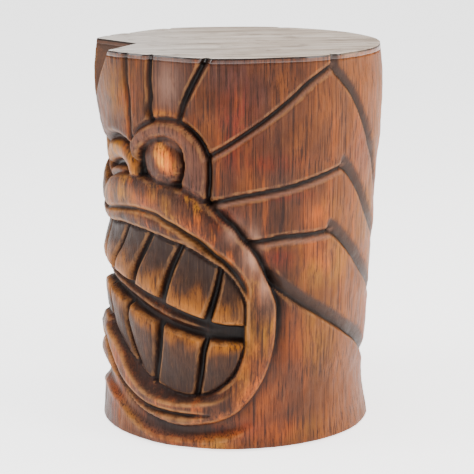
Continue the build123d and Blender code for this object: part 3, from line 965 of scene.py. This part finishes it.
# Painted light colour of the side toward the key light
LIT_SIDE_TAN = (0.36, 0.098, 0.014, 1)
PALE_EDGE = (0.40, 0.165, 0.048, 1)
TOOTH_BASE = (0.052, 0.019, 0.0055, 1)
TOOTH_BROWN = (0.020, 0.0090, 0.0052, 1)
LID_ROSE = (0.14, 0.055, 0.035, 1)
FACET_BROWN = (0.034, 0.0165, 0.0105, 1)
DUSK = (0.085, 0.040, 0.030, 1)
# Colour of the painted highlights and reflections
SHEEN_HIGHLIGHT = (0.56, 0.27, 0.165, 1)
NOTCH_GREY = (0.085, 0.044, 0.028, 1)
VARNISH = (0.80, 0.84, 0.92, 1)         # thins everything below it


def carved_wood(name):
    """Stained and dry-brushed faux wood: comb grain down the surface, painted shade in hollows and grooves,
    brighter places that are partly dry-brush and partly painted highlight.
    """
    s = Shader(name)
    place = s.position()
    grain = s.noise(s.stretch(place, (1, 1, 0.022)), 440, 5, 0.75)
    broad_grain = s.noise(s.stretch(place, (1, 1, 0.06)), 120, 5, 0.6)
    blotch = s.noise(s.stretch(place, (1, 1, 0.5)), 18, 6, 0.62)
    patch = s.noise(s.stretch(place, (1.3, 1.3, 0.9)), 9, 3, 0.5)
    speck = s.noise(s.stretch(place, (1, 1, 0.3)), 90, 5, 0.7)
    mottle = s.noise(s.stretch(place, (1, 1, 0.35)), 62, 6, 0.68)

    colour = s.ramp(blotch, [(0.30, (0.026, 0.0064, 0.0022)), (0.42, (0.056, 0.0130, 0.0034)),
                             (0.54, (0.104, 0.0250, 0.0044)), (0.70, (0.21, 0.052, 0.0056))])
    colour = s.mix(s.between(patch, 0.42, 0.68, 0, 0.45), colour, MAUVE)
    # Painted light: the side toward the key light lighter and more orange
    colour = s.brush(colour, "tan", 0.45, LIT_SIDE_TAN)
    # Darker patches, partly painted shade
    colour = s.brush(colour, "deep", 0.75, DEEP_BROWN)
    colour = s.mix(s.between(broad_grain, 0.54, 0.74, 0, 0.45), colour, ORANGE)
    rough_share = s.between(speck, 0.36, 0.62, 0.25, 1.0)
    # Greyer patches: partly a grey-purple wash, partly painted reflection
    colour = s.brush(colour, "grey_and_reflection", rough_share, DUSK)
    colour = s.mix(s.times(s.times(s.mask("red"), rough_share), 0.8), colour, RED)

    # Ochre and orange dry-brush on the teeth, nose, chin and listed spots, partly painted highlight
    brush_and_highlight_share = s.most(s.times(s.mask("bite"), 0.5), s.times(s.mask("nose"), 0.9))
    brush_and_highlight_share = s.most(brush_and_highlight_share, s.mask("brushed_and_highlight"))
    brush_and_highlight_share = s.most(brush_and_highlight_share, s.times(s.mask("chin"), 0.5))
    brush_and_highlight_share = s.times(brush_and_highlight_share, s.between(speck, 0.34, 0.58, 0.3, 1.1), clamp=True)
    brushed_and_highlight = s.mix(s.between(patch, 0.42, 0.58), OCHRE, ORANGE)
    colour = s.mix(brush_and_highlight_share, colour, brushed_and_highlight)
    colour = s.brush(colour, "eyeball", 0.7, MAUVE)
    colour = s.brush(colour, "eye", s.between(speck, 0.3, 0.5, 0.5, 1.0), EYE_ORANGE)
    colour = s.brush(colour, "eye", s.between(mottle, 0.46, 0.62, 0, 0.85), YELLOW)

    colour = s.brush(colour, "tooth", 0.7, TOOTH_BASE)
    colour = s.brush(colour, "bite", s.between(mottle, 0.36, 0.56, 0.3, 0.95), AMBER)
    colour = s.brush(colour, "root", 0.85, TOOTH_BROWN)
    # Painted shade on the teeth just under the lips
    colour = s.brush(colour, "shade_under_lip", 0.8, BLACK_BROWN)
    colour = s.brush(colour, "lid", 0.4, LID_ROSE)
    tint = s.mix(s.between(patch, 0.44, 0.56), OCHRE, ORANGE)
    colour = s.brush(colour, "lip", s.between(mottle, 0.50, 0.34, 0, 0.75), DEEP_BROWN)
    colour = s.brush(colour, "lip", s.between(mottle, 0.50, 0.64, 0, 0.75), tint)
    colour = s.brush(colour, "inner_lip", 0.75, DEEP_BROWN)

    colour = s.mix(s.between(grain, 0.53, 0.38, 0, 0.85), colour, DEEP_BROWN)
    colour = s.mix(s.between(grain, 0.56, 0.74, 0, 0.20), colour, PALE_EDGE)
    # Painted highlight and reflection on the forehead panel and the lip corner
    colour = s.brush(colour, "painted_sheen", s.between(speck, 0.3, 0.55, 0.4, 1.0), SHEEN_HIGHLIGHT)
    colour = s.mix(s.between(broad_grain, 0.45, 0.28, 0, 0.4), colour, DEEP_BROWN)

    # Painted shade in the hollows
    hollow = s.between(s.mask("hollow"), 0.04, 0.80, 0, 0.85)
    colour = s.mix(hollow, colour, DEEP_BROWN)
    colour = s.brush(colour, "bevel", 0.9, FACET_BROWN)
    # Painted highlight on the sloping side of the leaf cuts
    colour = s.brush(colour, "wear_and_highlight", 0.32, SHEEN_HIGHLIGHT)
    colour = s.brush(colour, "notch", 0.75, NOTCH_GREY)
    # Painted shade, near black, in the mouth floor, eye pockets, creases, nostrils, beside the lips, along
    # the cuts and beside the nose
    groove_shade = s.most(s.mask("floor"), s.mask("pocket"))
    for name in ("crease", "nostril", "lip_shadow", "cut"):
        groove_shade = s.most(groove_shade, s.mask(name))
    groove_shade = s.most(groove_shade, s.times(s.mask("trench"), 0.6))
    colour = s.mix(s.times(groove_shade, 0.93), colour, BLACK_BROWN)
    # Paler raised edges: partly dry-brush wear, partly painted highlight
    wear_and_highlight = s.times(s.between(s.mask("edge"), 0.45, 1.0), s.between(speck, 0.38, 0.62, 0.1, 1.0))
    wear_and_highlight = s.times(wear_and_highlight, s.math("SUBTRACT", 1.0, s.times(s.mask("nose"), 0.7)))
    colour = s.mix(s.times(wear_and_highlight, 0.38), colour, PALE_EDGE)
    # Pale lines along the lip ridges, partly painted highlight
    colour = s.brush(colour, "ridge", s.between(speck, 0.34, 0.56, 0.25, 0.75), PALE_EDGE)
    colour = s.mix(1.0, colour, VARNISH, "MULTIPLY")

    normal = s.bump(grain, 0.45, 0.0012)
    normal = s.bump(broad_grain, 0.30, 0.002, normal)
    normal = s.bump(blotch, 0.20, 0.004, normal)
    roughness = s.between(speck, 0.3, 0.7, 0.40, 0.56)
    return s, colour, roughness, normal


def shell_material():
    s, colour, roughness, normal = carved_wood("carved_resin_wood")
    return s.finish(colour, roughness, normal, Specular_IOR_Level=0.16)


def seat_material():
    """Pale streaked paint under lacquer on top, with a painted reflection near white toward the face side;
    the edge is stained like the carving, with a painted shadow line just under the top.
    """
    s, wood, _, _ = carved_wood("seat_lacquer_paint")
    place = s.position()
    streak = s.noise(s.stretch(place, (1, 0.12, 1)), 60, 6, 0.65, 0.3)
    cloud = s.noise(s.stretch(place, (1, 0.5, 1)), 10, 4, 0.6)
    pale = s.ramp(streak, [(0.34, (0.34, 0.25, 0.175)), (0.5, (0.68, 0.55, 0.44)),
                           (0.64, (0.92, 0.80, 0.68))])
    pale = s.mix(s.between(cloud, 0.4, 0.7, 0, 0.5), pale, (0.30, 0.225, 0.165, 1))
    up = s.node("ShaderNodeSeparateXYZ")
    s.join(place, up.inputs[0])
    # Painted reflection: the top turns near white toward the face side, negative y
    pale = s.mix(s.between(up.outputs["Y"], 0.02, -0.17, 0, 0.6), pale, (0.86, 0.83, 0.79, 1))
    blots = s.noise(s.stretch(place, (1, 0.6, 1)), 38, 5, 0.7)
    pale = s.mix(s.between(blots, 0.53, 0.66, 0, 0.6), pale, (0.24, 0.155, 0.10, 1))
    top = s.between(up.outputs["Z"], (HEIGHT - 0.5) * MM, (HEIGHT - 0.05) * MM)
    # Painted shadow: a dark line 1.6 to 2.6 mm under the top edge
    rim = s.between(up.outputs["Z"], (HEIGHT - 2.6) * MM, (HEIGHT - 1.6) * MM)
    colour = s.mix(s.times(rim, 0.85), wood, BLACK_BROWN)
    colour = s.mix(top, colour, pale)
    normal = s.bump(streak, 0.12, 0.0008)
    roughness = s.between(cloud, 0.3, 0.7, 0.22, 0.34)
    return s.finish(colour, roughness, normal, Specular_IOR_Level=0.5)


def plywood_material():
    s = Shader("birch_plywood")
    place = s.position()
    figure = s.noise(s.stretch(place, (0.12, 1, 1)), 70, 6, 0.6, 0.6)
    colour = s.ramp(figure, [(0.3, (0.42, 0.27, 0.14)), (0.5, (0.58, 0.40, 0.23)), (0.7, (0.68, 0.50, 0.31))])
    plies = s.node("ShaderNodeTexWave", bands_direction="Z")
    s.join(place, plies.inputs["Vector"])
    plies.inputs["Scale"].default_value = 160
    colour = s.mix(s.between(plies.outputs["Fac"], 0.55, 0.9, 0, 0.25), colour, (0.24, 0.13, 0.06, 1))
    return s.finish(colour, s.between(figure, 0.3, 0.7, 0.55, 0.7), s.bump(figure, 0.2, 0.0006))


def softwood_material():
    s = Shader("sawn_softwood")
    place = s.position()
    figure = s.noise(s.stretch(place, (1, 1, 0.1)), 90, 5, 0.6, 0.4)
    colour = s.ramp(figure, [(0.3, (0.48, 0.29, 0.13)), (0.55, (0.66, 0.45, 0.24)),
                             (0.75, (0.74, 0.55, 0.32))])
    return s.finish(colour, s.between(figure, 0.3, 0.7, 0.6, 0.78), s.bump(figure, 0.3, 0.0008))


def rubber_material():
    s = Shader("foot_rubber_black")
    speck = s.noise(s.position(), 900, 3, 0.6)
    colour = s.ramp(speck, [(0.35, (0.014, 0.014, 0.014)), (0.7, (0.035, 0.034, 0.033))])
    return s.finish(colour, s.between(speck, 0.3, 0.7, 0.7, 0.88), s.bump(speck, 0.2, 0.0003))


def steel_material():
    s = Shader("zinc_screw_steel")
    brushed = s.noise(s.stretch(s.position(), (1, 1, 6)), 500, 3, 0.6)
    colour = s.ramp(brushed, [(0.3, (0.42, 0.43, 0.44)), (0.7, (0.64, 0.65, 0.66))])
    roughness = s.between(brushed, 0.3, 0.7, 0.28, 0.42)
    return s.finish(colour, roughness, s.bump(brushed, 0.1, 0.0002), Metallic=1.0)


def floor_material():
    s = Shader("studio_floor")
    cloud = s.noise(s.position(), 1.5, 2, 0.5)
    colour = s.ramp(cloud, [(0.3, (0.93, 0.93, 0.93)), (0.7, (0.95, 0.95, 0.95))])
    roughness = s.between(cloud, 0.3, 0.7, 0.75, 0.85)
    return s.finish(colour, roughness, Emission_Color=(1, 1, 1, 1), Emission_Strength=FLOOR_GLOW)


def dress(piece, material):
    piece.data.materials.clear()
    piece.data.materials.append(material)


# ------------------------------------------------------------
# Pieces
# ------------------------------------------------------------
shell = build_shell()
dress(shell, shell_material())
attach(shell, "root")
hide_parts("carved_shell")

seat = build_seat()
dress(seat, seat_material())
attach(seat, "root")
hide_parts("seat_top")

NODE_MATERIALS = {
    "seat_board": plywood_material(),
    "base_board": plywood_material(),
    "seat_block": softwood_material(),
    "base_block": softwood_material(),
    "foot_screws": steel_material(),
    "seat_screws": steel_material(),
    "base_screws": steel_material(),
    "foot": rubber_material(),
}
for node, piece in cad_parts.items():
    family = node if node in NODE_MATERIALS else node.rstrip("_0123456789")
    if family in NODE_MATERIALS:
        dress(piece, NODE_MATERIALS[family])

floor_mesh = bpy.data.meshes.new("studio_floor")
floor_corners = [(-FLOOR_REACH, -FLOOR_REACH, 0), (FLOOR_REACH, -FLOOR_REACH, 0),
                 (FLOOR_REACH, FLOOR_REACH, 0), (-FLOOR_REACH, FLOOR_REACH, 0)]
floor_mesh.from_pydata(floor_corners, [], [(0, 1, 2, 3)])
floor = bpy.data.objects.new("studio_floor", floor_mesh)
bpy.context.scene.collection.objects.link(floor)
floor.location.z = -FLOOR_GAP
dress(floor, floor_material())
